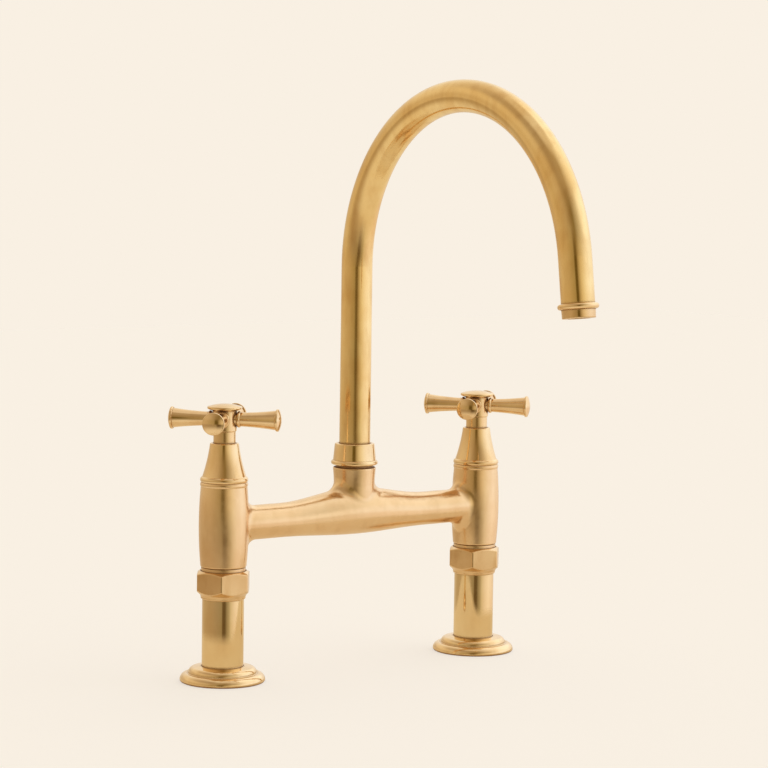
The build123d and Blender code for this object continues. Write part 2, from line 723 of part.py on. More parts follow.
def make_hub(centre_x, first_angle):
    """Handle's middle: a neck in the bonnet, a barrel with four tapped seats, a stepped bore."""
    with BuildPart() as hub:
        with BuildSketch(level_plane(centre_x, hub_bottom)):
            Circle(hub_neck_radius)
        extrude(amount=hub_shoulder - hub_bottom)
        with BuildSketch(level_plane(centre_x, hub_shoulder)):
            Circle(hub_radius)
        extrude(amount=hub_height)
        rims = hub.edges().filter_by(GeomType.CIRCLE).sort_by(SortBy.RADIUS)
        chamfer(rims[-2:].sort_by(Axis.Z)[0], hub_edge_break)
        with BuildSketch(level_plane(centre_x, hub_bottom)):
            Circle(spindle_radius + thread_fit)
            Rectangle(2 * hub_neck_radius, 2 * (spindle_flat + thread_fit), mode=Mode.INTERSECT)
        extrude(amount=web_bottom - hub_bottom, mode=Mode.SUBTRACT)
        with BuildSketch(level_plane(centre_x, web_bottom)):
            Circle(screw_radius + thread_fit)
        extrude(amount=hub_web, mode=Mode.SUBTRACT)
        with BuildSketch(level_plane(centre_x, web_top)):
            Circle(hub_cavity_radius)
        extrude(amount=hub_top - web_top, mode=Mode.SUBTRACT)
        for angle in spoke_angles(first_angle):
            outward = spoke_plane(centre_x, angle).x_dir
            axis_point = Vector(centre_x, 0, spoke_axis_height)
            with BuildSketch(Plane(origin=axis_point, z_dir=outward)):
                Circle(spoke_stud_radius + thread_fit)
            extrude(amount=hub_radius, mode=Mode.SUBTRACT)
            with BuildSketch(Plane(origin=axis_point + outward * spoke_seat_radius, z_dir=outward)):
                Circle(spoke_foot_radius + thread_fit)
            extrude(amount=hub_radius, mode=Mode.SUBTRACT)
    return hub


def make_handle_cap(centre_x):
    """Domed button with a round rim, screwed into the top of the hub over the handle screw."""
    rim_bottom = hub_top + cap_flare_height
    rim_top = rim_bottom + cap_rim_height
    with BuildPart() as handle_cap:
        with BuildSketch(profile_plane(centre_x)):
            with BuildLine():
                Line((0, hub_top - cap_spigot_length),
                     (hub_cavity_radius - thread_fit, hub_top - cap_spigot_length))
                Line((hub_cavity_radius - thread_fit, hub_top - cap_spigot_length),
                     (hub_cavity_radius - thread_fit, hub_top))
                Line((hub_cavity_radius - thread_fit, hub_top), (hub_radius, hub_top))
                Line((hub_radius, hub_top), (cap_radius - cap_rim_height / 2, rim_bottom))
                ThreePointArc((cap_radius - cap_rim_height / 2, rim_bottom),
                              (cap_radius, (rim_bottom + rim_top) / 2),
                              (cap_radius - cap_rim_height / 2, rim_top))
                TangentArc((0, rim_top + cap_dome_height), (cap_radius - cap_rim_height / 2, rim_top),
                           tangent=(1, 0))
                Line((0, rim_top + cap_dome_height), (0, hub_top - cap_spigot_length))
            make_face()
        revolve(axis=upright_axis(centre_x))
    return handle_cap


def make_handle_spokes(centre_x, first_angle):
    """Four turned arms: a stud, a foot in the hub, a ring, a flaring shaft, a lip and a domed end."""
    stud_start = spoke_seat_radius - spoke_stud_length
    ring_start = spoke_ring_place_radius - spoke_ring_length / 2
    ring_end = spoke_ring_place_radius + spoke_ring_length / 2
    lip_start = spoke_length - spoke_dome_height - spoke_lip_thickness
    lip_end = spoke_length - spoke_dome_height
    with BuildPart() as handle_spokes:
        for angle in spoke_angles(first_angle):
            plane = spoke_plane(centre_x, angle)
            with BuildSketch(plane):
                with BuildLine():
                    Line((stud_start, 0), (stud_start, spoke_stud_radius))
                    Line((stud_start, spoke_stud_radius), (spoke_seat_radius, spoke_stud_radius))
                    Line((spoke_seat_radius, spoke_stud_radius), (spoke_seat_radius, spoke_foot_radius))
                    Line((spoke_seat_radius, spoke_foot_radius), (ring_start, spoke_foot_radius))
                    ThreePointArc((ring_start, spoke_foot_radius),
                                  (spoke_ring_place_radius, spoke_ring_radius),
                                  (ring_end, spoke_root_radius))
                    SagittaArc((ring_end, spoke_root_radius), (lip_start, spoke_tip_radius),
                               -spoke_flare_depth)
                    Line((lip_start, spoke_tip_radius), (lip_start, spoke_lip_radius - spoke_lip_round))
                    RadiusArc((lip_start, spoke_lip_radius - spoke_lip_round),
                              (lip_start + spoke_lip_round, spoke_lip_radius), spoke_lip_round)
                    Line((lip_start + spoke_lip_round, spoke_lip_radius),
                         (lip_end - spoke_lip_round, spoke_lip_radius))
                    RadiusArc((lip_end - spoke_lip_round, spoke_lip_radius),
                              (lip_end, spoke_lip_radius - spoke_lip_round), spoke_lip_round)
                    TangentArc((spoke_length, 0), (lip_end, spoke_lip_radius - spoke_lip_round),
                               tangent=(0, 1))
                    Line((spoke_length, 0), (stud_start, 0))
                make_face()
            revolve(axis=Axis(plane.origin, plane.x_dir))
    return handle_spokes


def make_handle_screw(centre_x):
    """Pan-head screw with a hexagon socket, which holds the hub down on the spindle."""
    with BuildPart() as handle_screw:
        with BuildSketch(level_plane(centre_x, web_top - screw_length)):
            Circle(screw_radius)
        extrude(amount=screw_length)
        with BuildSketch(level_plane(centre_x, web_top)):
            Circle(screw_head_radius)
        extrude(amount=screw_head_height)
        fillet(handle_screw.edges().sort_by(Axis.Z)[-1], screw_head_round)
        with BuildSketch(level_plane(centre_x, web_top + screw_head_height)):
            RegularPolygon(screw_socket_across_flats / 2, 6, major_radius=False)
        extrude(amount=-screw_socket_depth, mode=Mode.SUBTRACT)
    return handle_screw


for side, centre_x in column_centres.items():
    save(make_flange(centre_x), f"{side}_flange")
    save(tube_block(centre_x, 0, gasket_thickness, gasket_inner_radius, gasket_outer_radius),
         f"{side}_flange_gasket")
    save(make_leg(centre_x), f"{side}_leg")
    save(make_union_nut(centre_x, union_turns[side]), f"{side}_union_nut")
    save(tube_block(centre_x, leg_top, spigot_bottom, leg_bore_radius, leg_shoulder_radius),
         f"{side}_union_washer")
    save(make_shank(centre_x), f"{side}_shank")
    save(tube_block(centre_x, clamp_washer_top, washer_top, shank_radius + washer_fit,
                    deck_washer_radius), f"{side}_deck_washer")
    save(tube_block(centre_x, mounting_nut_top, clamp_washer_top, shank_radius + washer_fit,
                    clamp_washer_radius), f"{side}_clamp_washer")
    save(make_mounting_nut(centre_x), f"{side}_mounting_nut")
    save(tube_block(centre_x, seat_height, fixed_disc_bottom, seal_inner_radius,
                    disc_bore_radius - thread_fit), f"{side}_seat_seal")
    save(make_disc(centre_x, fixed_disc_bottom, fixed_disc_thickness,
                   disc_bore_radius - thread_fit, False), f"{side}_fixed_disc")
    save(make_disc(centre_x, moving_disc_bottom, moving_disc_thickness,
                   disc_bore_radius - disc_gap, True), f"{side}_moving_disc")
    save(make_cartridge_body(centre_x), f"{side}_cartridge_body")
    save(make_spindle(centre_x), f"{side}_spindle")
    save(make_spindle_o_rings(centre_x), f"{side}_spindle_o_rings")
    save(make_spindle_clip(centre_x), f"{side}_spindle_clip")
    save(make_bonnet(centre_x), f"{side}_bonnet")
    save(make_hub(centre_x, handle_angles[side]), f"{side}_handle_hub")
    save(make_handle_cap(centre_x), f"{side}_handle_cap")
    save(make_handle_spokes(centre_x, handle_angles[side]), f"{side}_handle_spokes")
    save(make_handle_screw(centre_x), f"{side}_handle_screw")

# ---- spout and its swivel ----------------------------------------------------------------------

with BuildPart() as spout_tube:
    with BuildLine(Plane.YZ) as spout_path:
        Line((0, tube_bottom), (0, spout_spring_height))
        CenterArc((-spout_arc_radius, spout_spring_height), spout_arc_radius, 0, bend_sweep)
        Line((bend_end_y, bend_end_height),
             (mouth_y + mouth_height * lean_out, mouth_centre_height + mouth_height * lean_down))
    with BuildSketch(level_plane(0, tube_bottom)):
        Circle(spout_radius)
        Circle(spout_radius - spout_wall, mode=Mode.SUBTRACT)
    sweep(path=spout_path.wire())
save(spout_tube, "spout_tube")

with BuildPart() as spout_fitting:
    with BuildSketch(profile_plane(0)):
        with BuildLine():
            Polyline((fitting_bore_radius, fitting_bottom),
                     (journal_radius, fitting_bottom),
                     (journal_radius, collar_shoulder),
                     (spout_radius, tube_bottom),
                     (spout_radius - spout_wall - thread_fit, tube_bottom),
                     (spout_radius - spout_wall - thread_fit, tube_bottom + fitting_insert_length),
                     (fitting_bore_radius, tube_bottom + fitting_insert_length), close=True)
        make_face()
    revolve(axis=Axis.Z)
    with BuildSketch(profile_plane(0)):
        for height in spout_o_ring_heights:
            with Locations((journal_radius, height)):
                Rectangle(2 * spout_o_ring_groove_depth, spout_o_ring_section + 2 * thread_fit)
        with Locations((journal_radius, (clip_bottom + clip_top) / 2)):
            Rectangle(2 * clip_groove_depth, clip_thickness + 2 * end_float)
    revolve(axis=Axis.Z, mode=Mode.SUBTRACT)
save(spout_fitting, "spout_fitting")

with BuildPart() as spout_o_rings:
    with BuildSketch(profile_plane(0)):
        for height in spout_o_ring_heights:
            with Locations((journal_radius - spout_o_ring_section / 2, height)):
                Circle(spout_o_ring_section / 2)
    revolve(axis=Axis.Z)
save(spout_o_rings, "spout_o_rings")

with BuildPart() as swivel_bush:
    with BuildSketch(profile_plane(0)):
        with BuildLine():
            Polyline((boss_bore_radius, bush_bottom), (boss_bore_radius + bush_wall, bush_bottom),
                     (boss_bore_radius + bush_wall, boss_thread_top),
                     (boss_thread_radius - loose_fit, boss_thread_top),
                     (boss_thread_radius - loose_fit, bush_top), (boss_bore_radius, bush_top),
                     close=True)
        make_face()
    revolve(axis=Axis.Z)
save(swivel_bush, "swivel_bush")

with BuildPart() as spout_clip:
    clip_inner_radius = journal_radius - clip_groove_depth + thread_fit
    with BuildSketch(profile_plane(0)):
        with Locations(((clip_inner_radius + clip_radius) / 2, (clip_bottom + clip_top) / 2)):
            Rectangle(clip_radius - clip_inner_radius, clip_thickness)
    revolve(axis=Axis.Z, revolution_arc=360 - clip_gap_angle)
save(spout_clip, "spout_clip")

with BuildPart() as spout_collar:
    bead_top = collar_bottom + collar_bead_height
    with BuildSketch(profile_plane(0)):
        with BuildLine():
            Line((boss_thread_radius + thread_fit, collar_bottom),
                 (collar_bead_radius - collar_bead_height / 2, collar_bottom))
            ThreePointArc((collar_bead_radius - collar_bead_height / 2, collar_bottom),
                          (collar_bead_radius, collar_bottom + collar_bead_height / 2),
                          (collar_foot_radius, bead_top))
            Line((collar_foot_radius, bead_top), (collar_top_radius, collar_top - collar_edge_round))
            RadiusArc((collar_top_radius, collar_top - collar_edge_round),
                      (collar_top_radius - collar_edge_round, collar_top), -collar_edge_round)
            Line((collar_top_radius - collar_edge_round, collar_top),
                 (spout_radius + loose_fit, collar_top))
            Line((spout_radius + loose_fit, collar_top), (spout_radius + loose_fit, collar_shoulder))
            Line((spout_radius + loose_fit, collar_shoulder),
                 (boss_thread_radius + thread_fit, collar_shoulder))
            Line((boss_thread_radius + thread_fit, collar_shoulder),
                 (boss_thread_radius + thread_fit, collar_bottom))
        make_face()
    revolve(axis=Axis.Z)
save(spout_collar, "spout_collar")

# ---- outlet at the end of the spout ------------------------------------------------------------
# Heights here are measured up the leaning end of the spout, from the rim of its mouth.

mouth_axis = Axis(mouth_centre, mouth_up)
mouth_profile_plane = Plane(origin=mouth_centre, x_dir=(1, 0, 0), z_dir=(0, -lean_down, lean_out))


def mouth_level_plane(height):
    return Plane(origin=mouth_centre + mouth_up * height, x_dir=(1, 0, 0), z_dir=mouth_up)


with BuildPart() as outlet_ring:
    bead_top = mouth_height + outlet_bead_height
    with BuildSketch(mouth_profile_plane):
        with BuildLine():
            Line((spout_radius + thread_fit, mouth_height),
                 (spout_radius + outlet_ring_lip, mouth_height))
            ThreePointArc((spout_radius + outlet_ring_lip, mouth_height),
                          (outlet_bead_radius, mouth_height + outlet_bead_height / 2),
                          (spout_radius + outlet_ring_lip, bead_top))
            Line((spout_radius + outlet_ring_lip, bead_top), (spout_radius + thread_fit, bead_top))
            Line((spout_radius + thread_fit, bead_top), (spout_radius + thread_fit, mouth_height))
        make_face()
    revolve(axis=mouth_axis)
save(outlet_ring, "outlet_ring")

with BuildPart() as aerator_shell:
    aerator_thread_radius = spout_radius - spout_wall - thread_fit
    with BuildSketch(mouth_profile_plane):
        with BuildLine():
            Line((insert_radius - insert_lip, 0), (mouth_bottom_radius - mouth_edge_round, 0))
            RadiusArc((mouth_bottom_radius - mouth_edge_round, 0),
                      (mouth_bottom_radius, mouth_edge_round), -mouth_edge_round)
            Line((mouth_bottom_radius, mouth_edge_round), (mouth_top_radius, mouth_height))
            Line((mouth_top_radius, mouth_height), (aerator_thread_radius, mouth_height))
            Line((aerator_thread_radius, mouth_height), (aerator_thread_radius, aerator_top))
            Line((aerator_thread_radius, aerator_top), (mouth_bore_radius, aerator_top))
            Line((mouth_bore_radius, aerator_top), (mouth_bore_radius, insert_recess))
            Line((mouth_bore_radius, insert_recess), (insert_radius - insert_lip, insert_recess))
            Line((insert_radius - insert_lip, insert_recess), (insert_radius - insert_lip, 0))
        make_face()
    revolve(axis=mouth_axis)
save(aerator_shell, "aerator_shell")

with BuildPart() as aerator_insert:
    with BuildSketch(mouth_level_plane(insert_recess)):
        Circle(insert_radius)
    extrude(amount=insert_height)
    with Locations(mouth_level_plane(insert_recess + insert_height)):
        Hole(insert_hole_radius)
        for ring in (1, 2):
            with PolarLocations(ring * insert_ring_spacing_radius, ring * insert_holes_per_ring):
                Hole(insert_hole_radius)
save(aerator_insert, "aerator_insert")

with BuildPart() as aerator_washer:
    with BuildSketch(mouth_level_plane(aerator_top)):
        Circle(spout_radius - spout_wall - thread_fit)
        Circle(mouth_bore_radius, mode=Mode.SUBTRACT)
    extrude(amount=aerator_washer_thickness)
save(aerator_washer, "aerator_washer")
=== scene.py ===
from math import ceil, cos, pi, radians, sin

import bpy
from mathutils import Matrix, Vector


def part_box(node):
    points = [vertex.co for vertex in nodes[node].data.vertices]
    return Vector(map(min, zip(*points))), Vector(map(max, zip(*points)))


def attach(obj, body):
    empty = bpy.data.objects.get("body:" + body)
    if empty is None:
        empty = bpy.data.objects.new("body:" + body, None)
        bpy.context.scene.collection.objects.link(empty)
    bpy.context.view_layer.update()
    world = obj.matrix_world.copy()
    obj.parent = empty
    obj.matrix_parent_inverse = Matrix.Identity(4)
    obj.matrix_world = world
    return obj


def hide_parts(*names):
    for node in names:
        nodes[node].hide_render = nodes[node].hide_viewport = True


# Bridge kitchen faucet in unlacquered satin brass, in a plain pale studio. Metres, Z up from the deck.

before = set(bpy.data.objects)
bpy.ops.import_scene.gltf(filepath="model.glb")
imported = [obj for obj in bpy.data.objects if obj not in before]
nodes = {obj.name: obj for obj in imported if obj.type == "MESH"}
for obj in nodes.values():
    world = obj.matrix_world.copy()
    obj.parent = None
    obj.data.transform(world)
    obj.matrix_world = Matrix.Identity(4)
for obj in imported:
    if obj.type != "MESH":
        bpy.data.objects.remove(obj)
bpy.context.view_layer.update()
SIDES = ("left", "right")
MM = 0.001


def column_x(side):
    """Where that side's column, with its handle's stem, stands along the bridge."""
    low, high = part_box(side + "_leg")
    return (low[0] + high[0]) / 2


# ---- camera: the photograph's view, as worked out from the columns, the bridge and the spout ------

CAMERA_TURN = radians(36.51)        # it stands this far round to the left of the front
CAMERA_PITCH = radians(4.90)        # and looks down by this much
CAMERA_ROLL = radians(0.82)
CAMERA_DISTANCE = 1.76709
AIM = Vector((0.02360, 0.0, 0.18452))
LENS_MM = 125.69
SENSOR_MM = 36.0
HALF_PIXEL = 0.00033                # half a pixel of the 768-pixel frame, at the aim's distance

ahead = Vector((sin(CAMERA_TURN) * cos(CAMERA_PITCH), cos(CAMERA_TURN) * cos(CAMERA_PITCH),
                -sin(CAMERA_PITCH)))
level_right = Vector((cos(CAMERA_TURN), -sin(CAMERA_TURN), 0))
level_up = level_right.cross(ahead)
camera_right = level_right * cos(CAMERA_ROLL) + level_up * sin(CAMERA_ROLL)
camera_up = level_up * cos(CAMERA_ROLL) - level_right * sin(CAMERA_ROLL)


def add_camera():
    """The photograph's camera, with the aim in the middle of the frame."""
    camera = bpy.data.objects.new("camera", bpy.data.cameras.new("camera"))
    bpy.context.scene.collection.objects.link(camera)
    camera.data.lens = LENS_MM
    camera.data.sensor_width = SENSOR_MM
    place = AIM - ahead * CAMERA_DISTANCE - camera_right * HALF_PIXEL + camera_up * HALF_PIXEL
    turn = Matrix((camera_right, camera_up, -ahead)).transposed().to_4x4()
    camera.matrix_world = Matrix.Translation(place) @ turn
    bpy.context.scene.camera = camera


# ---- material helpers -----------------------------------------------------------------------------


def linear(hex_colour):
    """sRGB hex, such as "#E9C381", as linear RGBA."""
    parts = [int(hex_colour[i:i + 2], 16) / 255 for i in (1, 3, 5)]
    return [c / 12.92 if c <= 0.04045 else ((c + 0.055) / 1.055) ** 2.4 for c in parts] + [1.0]


def add_node(tree, kind, settings=None, links=None):
    """A node of that kind. settings are its properties, the values of its sockets and the (place,
    linear colour) stops of its ramp; links join its inputs to what feeds them."""
    node = tree.nodes.new(kind)
    for key, value in (settings or {}).items():
        if key == "stops":
            elements = node.color_ramp.elements
            while len(elements) < len(value):
                elements.new(0.5)
            for element, (place, colour) in zip(elements, value):
                element.position = place
                element.color = colour
        elif isinstance(key, str) and hasattr(node, key):
            setattr(node, key, value)
        else:
            node.inputs[key].default_value = value
    for key, source in (links or {}).items():
        tree.links.new(source, node.inputs[key])
    return node


def new_material(name):
    """An empty material, and the Object coordinates that its patterns read."""
    material = bpy.data.materials.new(name)
    material.use_nodes = True
    tree = material.node_tree
    tree.nodes.clear()
    return material, tree, add_node(tree, "ShaderNodeTexCoord").outputs["Object"]


# ---- what the hand and the years leave on a surface -----------------------------------------------
# The noise behind them runs from 0 to 1, but keeps mostly between 0.3 and 0.7.

SMOOTH, FINE, SOFT, CLOUDY, SPOTTY = 1.0, 2.0, 3.0, 4.0, 6.0    # layers of detail in the noise
POLISH_SPREAD = (0.30, 0.70)        # noise at which the polish is brightest, and dullest


def uneven_colour(tree, place, light, dark, size_mm, spread):
    """Colour that drifts from dark to light over soft areas about size_mm across."""
    areas = add_node(tree, "ShaderNodeTexNoise", {"Scale": 1 / (size_mm * MM), "Detail": SOFT},
                     {"Vector": place})
    return add_node(tree, "ShaderNodeValToRGB",
                    {"stops": [(spread[0], linear(dark)), (spread[1], linear(light))]},
                    {"Fac": areas.outputs["Fac"]}).outputs["Color"]


def uneven_polish(tree, place, brightest, dullest, size_mm, detail):
    """Roughness that drifts between two values, over patches about size_mm across."""
    patches = add_node(tree, "ShaderNodeTexNoise", {"Scale": 1 / (size_mm * MM), "Detail": detail},
                       {"Vector": place})
    return add_node(tree, "ShaderNodeMapRange", {
        "From Min": POLISH_SPREAD[0], "From Max": POLISH_SPREAD[1], "To Min": brightest,
        "To Max": dullest}, {"Value": patches.outputs["Fac"]}).outputs["Result"]


def uneven_surface(tree, place, size_mm, depth_mm, detail, under=None):
    """Bumps about size_mm across and depth_mm high, on top of the surface under them."""
    bumps = add_node(tree, "ShaderNodeTexNoise", {"Scale": 1 / (size_mm * MM), "Detail": detail},
                     {"Vector": place})
    links = {"Height": bumps.outputs["Fac"]}
    if under:
        links["Normal"] = under
    return add_node(tree, "ShaderNodeBump", {"Strength": 1.0, "Distance": depth_mm * MM},
                    links).outputs["Normal"]


# ---- ways that the marks run on each surface ------------------------------------------------------
# Real ones are about a tenth of a millimetre wide. They are drawn about half a millimetre wide, so
# that they show.

LATHE_STRETCH = 60                  # a lathe mark runs this many times its width round the piece
DRAWN_STRETCH = 40                  # and a polishing mark this many times its width along the tube
BEND_RADIUS = 109.3 * MM            # the gooseneck's bend, to the tube's axis


def no_marks(tree, place):
    """A surface filed and rubbed every way: its marks keep their own shape."""
    return place


def turned_marks(tree, place):
    """Rings round an upright axis."""
    return add_node(tree, "ShaderNodeMapping", {"Scale": (1 / LATHE_STRETCH, 1 / LATHE_STRETCH, 1)},
                    {"Vector": place}).outputs[0]


def spoke_marks(tree, place, stem_x):
    """Rings round each spoke of the handle whose stem stands at stem_x."""
    centred = add_node(tree, "ShaderNodeMapping", {"Location": (-stem_x, 0, 0)}, {"Vector": place})
    split = add_node(tree, "ShaderNodeSeparateXYZ", links={"Vector": centred.outputs[0]})
    flat = add_node(tree, "ShaderNodeCombineXYZ",
                    links={"X": split.outputs["X"], "Y": split.outputs["Y"]})
    reach = add_node(tree, "ShaderNodeVectorMath", {"operation": "LENGTH"}, {0: flat.outputs[0]})
    slow = add_node(tree, "ShaderNodeMath", {"operation": "MULTIPLY", 1: 1 / LATHE_STRETCH},
                    {0: split.outputs["Z"]})
    return add_node(tree, "ShaderNodeCombineXYZ",
                    links={"X": slow.outputs[0], "Z": reach.outputs["Value"]}).outputs[0]


def spout_marks(tree, place):
    """Marks along the spout's tube: the place across it, and the length along it squeezed."""
    low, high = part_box("spout_tube")
    tube_radius = (high[0] - low[0]) / 2
    bend_height = high[2] - tube_radius - BEND_RADIUS
    split = add_node(tree, "ShaderNodeSeparateXYZ", links={"Vector": place})
    forward = add_node(tree, "ShaderNodeMath", {"operation": "ADD", 1: BEND_RADIUS},
                       {0: split.outputs["Y"]})
    rise = add_node(tree, "ShaderNodeMath", {"operation": "SUBTRACT", 1: bend_height},
                    {0: split.outputs["Z"]})
    above = add_node(tree, "ShaderNodeMath", {"operation": "MAXIMUM", 1: 0.0}, {0: rise.outputs[0]})
    below = add_node(tree, "ShaderNodeMath", {"operation": "MINIMUM", 1: 0.0}, {0: rise.outputs[0]})
    in_plane = add_node(tree, "ShaderNodeCombineXYZ",
                        links={"X": forward.outputs[0], "Y": above.outputs[0]})
    reach = add_node(tree, "ShaderNodeVectorMath", {"operation": "LENGTH"}, {0: in_plane.outputs[0]})
    turn = add_node(tree, "ShaderNodeMath", {"operation": "ARCTAN2"},
                    {0: above.outputs[0], 1: forward.outputs[0]})
    length = add_node(tree, "ShaderNodeMath", {"operation": "MULTIPLY_ADD", 1: BEND_RADIUS},
                      {0: turn.outputs[0], 2: below.outputs[0]})
    slow = add_node(tree, "ShaderNodeMath", {"operation": "MULTIPLY", 1: 1 / DRAWN_STRETCH},
                    {0: length.outputs[0]})
    return add_node(tree, "ShaderNodeCombineXYZ", links={
        "X": split.outputs["X"], "Y": reach.outputs["Value"], "Z": slow.outputs[0]}).outputs[0]


# ---- materials ------------------------------------------------------------------------------------

TONE_MM = 26                        # areas of slightly deeper tone, as wide as a thumb's rub
TONE_SPREAD = (0.32, 0.68)          # noise at which the tone is deepest, and lightest
POLISH_MM = 5                       # patches that the polishing cloth left brighter or duller
WATER_MARK_MM = 7                   # stains where drops dried, three times as long as they are wide
WATER_MARK_SCALE = (1, 1, 1 / 3)
WATER_MARK_SPREAD = (0.46, 0.70)    # noise at which a stain starts, and is deepest
WATER_MARK = "#C99C60"
# Tarnish in the hollows, and painted shade: the AO node darkens the brass towards one colour wherever
# other surfaces are near, in grooves, corners and the joins between separate pieces.
CREVICE_MM = 2.6                    # how far the tarnish and painted shade reach out of a groove or join
CREVICE_SKY = (0.86, 0.42)          # share of open sky at which it starts, and is thickest
SHADE_AND_TARNISH = "#94683A"
TARNISH_ROUGHNESS = 0.5             # it is a dull film
TARNISH_COVER = 0.85                # that hides this much of the metal where it is thickest
RAY_SAMPLES = 8                     # rays that feel for crevices and edges


def brass(name, marks, light, dark, polish, stain, edge_mm, wave_mm, wave_depth_mm, mark_mm,
          mark_depth_mm):
    """Bare brass rubbed to a satin: warm, soft reflections. Its tone drifts over centimetres and its
    polish over millimetres, dried drops leave browner stains, tarnish sits in the grooves and corners
    that the cloth doesn't reach, with painted shade darkening them and the joins between pieces, and
    the cloth has taken the edges down to a radius of edge_mm."""
    material, tree, place = new_material(name)
    lines = marks(tree, place)
    tone = uneven_colour(tree, place, light, dark, TONE_MM, TONE_SPREAD)
    streaked = add_node(tree, "ShaderNodeMapping", {"Scale": WATER_MARK_SCALE}, {"Vector": place})
    drops = add_node(tree, "ShaderNodeTexNoise", {"Scale": 1 / (WATER_MARK_MM * MM), "Detail": SPOTTY},
                     {"Vector": streaked.outputs[0]})
    stained = add_node(tree, "ShaderNodeMapRange", {
        "From Min": WATER_MARK_SPREAD[0], "From Max": WATER_MARK_SPREAD[1], "To Max": stain},
        {"Value": drops.outputs["Fac"]})
    used = add_node(tree, "ShaderNodeMix", {"data_type": "RGBA", 7: linear(WATER_MARK)},
                    {0: stained.outputs["Result"], 6: tone})
    # Painted shade and tarnish: darker, duller and less metal where the AO node finds little open sky.
    open_sky = add_node(tree, "ShaderNodeAmbientOcclusion",
                        {"samples": RAY_SAMPLES, "Distance": CREVICE_MM * MM})
    shade_and_tarnish = add_node(tree, "ShaderNodeMapRange",
                         {"From Min": CREVICE_SKY[0], "From Max": CREVICE_SKY[1]},
                         {"Value": open_sky.outputs["AO"]}).outputs["Result"]
    aged_and_shaded = add_node(tree, "ShaderNodeMix", {"data_type": "RGBA", 7: linear(SHADE_AND_TARNISH)},
                    {0: shade_and_tarnish, 6: used.outputs[2]})
    dulled = add_node(tree, "ShaderNodeMix", {3: TARNISH_ROUGHNESS}, {
        0: shade_and_tarnish, 2: uneven_polish(tree, lines, *polish, POLISH_MM, CLOUDY)})
    bare = add_node(tree, "ShaderNodeMapRange", {"To Min": 1.0, "To Max": 1 - TARNISH_COVER},
                    {"Value": shade_and_tarnish})
    soft_edges = add_node(tree, "ShaderNodeBevel", {"samples": RAY_SAMPLES, "Radius": edge_mm * MM})
    waves = uneven_surface(tree, place, wave_mm, wave_depth_mm, SMOOTH, soft_edges.outputs[0])
    marked = uneven_surface(tree, lines, mark_mm, mark_depth_mm, FINE, waves)
    metal = add_node(tree, "ShaderNodeBsdfPrincipled", links={
        "Base Color": aged_and_shaded.outputs[2], "Roughness": dulled.outputs[0],
        "Metallic": bare.outputs["Result"], "Normal": marked})
    add_node(tree, "ShaderNodeOutputMaterial", links={"Surface": metal.outputs[0]})
    return material


def cast_brass():
    """Sand-cast brass, filed and rubbed by hand: slightly redder, with low waves and a soft mottle."""
    return brass("satin_cast_brass", no_marks, light="#F1D4AC", dark="#EAC89C", polish=(0.19, 0.27),
                 stain=0.16, edge_mm=0.5, wave_mm=14, wave_depth_mm=0.04, mark_mm=0.7,
                 mark_depth_mm=0.0006)


def turned_brass():
    """Brass bar turned on a lathe and rubbed: crisp forms with fine rings round them."""
    return brass("satin_turned_brass", turned_marks, light="#F3D9AE", dark="#EDCC9C",
                 polish=(0.08, 0.14), stain=0.25, edge_mm=0.3, wave_mm=16, wave_depth_mm=0.015,
                 mark_mm=0.5, mark_depth_mm=0.0006)


def polished_brass():
    """The legs' tube, polished brighter than the rest: it mirrors the room almost sharply."""
    return brass("polished_brass_tube", turned_marks, light="#F2DBB0", dark="#EED2A2",
                 polish=(0.045, 0.08), stain=0.15, edge_mm=0.2, wave_mm=16, wave_depth_mm=0.008,
                 mark_mm=0.5, mark_depth_mm=0.0002)


def hexagon_brass():
    """Redder bar, milled and left with its corners rubbed round: duller flats with blotches."""
    return brass("satin_hexagon_brass", no_marks, light="#F0D3A8", dark="#E3C092",
                 polish=(0.11, 0.17), stain=0.40, edge_mm=0.9, wave_mm=9, wave_depth_mm=0.02,
                 mark_mm=0.6, mark_depth_mm=0.0006)


def spoke_brass(side):
    """Turned like the rest, but the lathe's rings run round each spoke's own axis."""
    return brass("satin_turned_spoke_brass_" + side,
                 lambda tree, place: spoke_marks(tree, place, column_x(side)), light="#F3D8AE",
                 dark="#EDCB9D", polish=(0.09, 0.15), stain=0.25, edge_mm=0.2, wave_mm=16,
                 wave_depth_mm=0.01, mark_mm=0.4, mark_depth_mm=0.0005)


def drawn_brass():
    """Drawn brass tube, bent and polished lengthwise: clear reflections with streaks along them."""
    return brass("satin_drawn_brass_tube", spout_marks, light="#F3D8A2", dark="#EAC688",
                 polish=(0.10, 0.17), stain=0.34, edge_mm=0.2, wave_mm=14, wave_depth_mm=0.03,
                 mark_mm=0.6, mark_depth_mm=0.0008)


PLAIN_TONE_MM = 3                   # areas of deeper tone on a plain piece
PLAIN_POLISH_MM = 1.5               # and patches of brighter or duller skin
PLAIN_SPREAD = (0.35, 0.65)         # noise at which a plain piece is darkest, and lightest


def plain(name, light, dark, polish, metallic=0.0, grain_mm=0.4, grain_depth_mm=0.004):
    """A piece mostly out of sight: a slightly uneven colour and a fine grain."""
    material, tree, place = new_material(name)
    stuff = add_node(tree, "ShaderNodeBsdfPrincipled", {"Metallic": metallic}, {
        "Base Color": uneven_colour(tree, place, light, dark, PLAIN_TONE_MM, PLAIN_SPREAD),
        "Roughness": uneven_polish(tree, place, *polish, PLAIN_POLISH_MM, FINE),
        "Normal": uneven_surface(tree, place, grain_mm, grain_depth_mm, FINE)})
    add_node(tree, "ShaderNodeOutputMaterial", links={"Surface": stuff.outputs[0]})
    return material


def machined_brass():
    """Brass bar as the lathe left it, where no cloth has been: yellower, with an even soft shine."""
    return plain("bright_machined_brass", light="#F2DCAE", dark="#E8CC98", polish=(0.2, 0.3),
                 metallic=1.0)


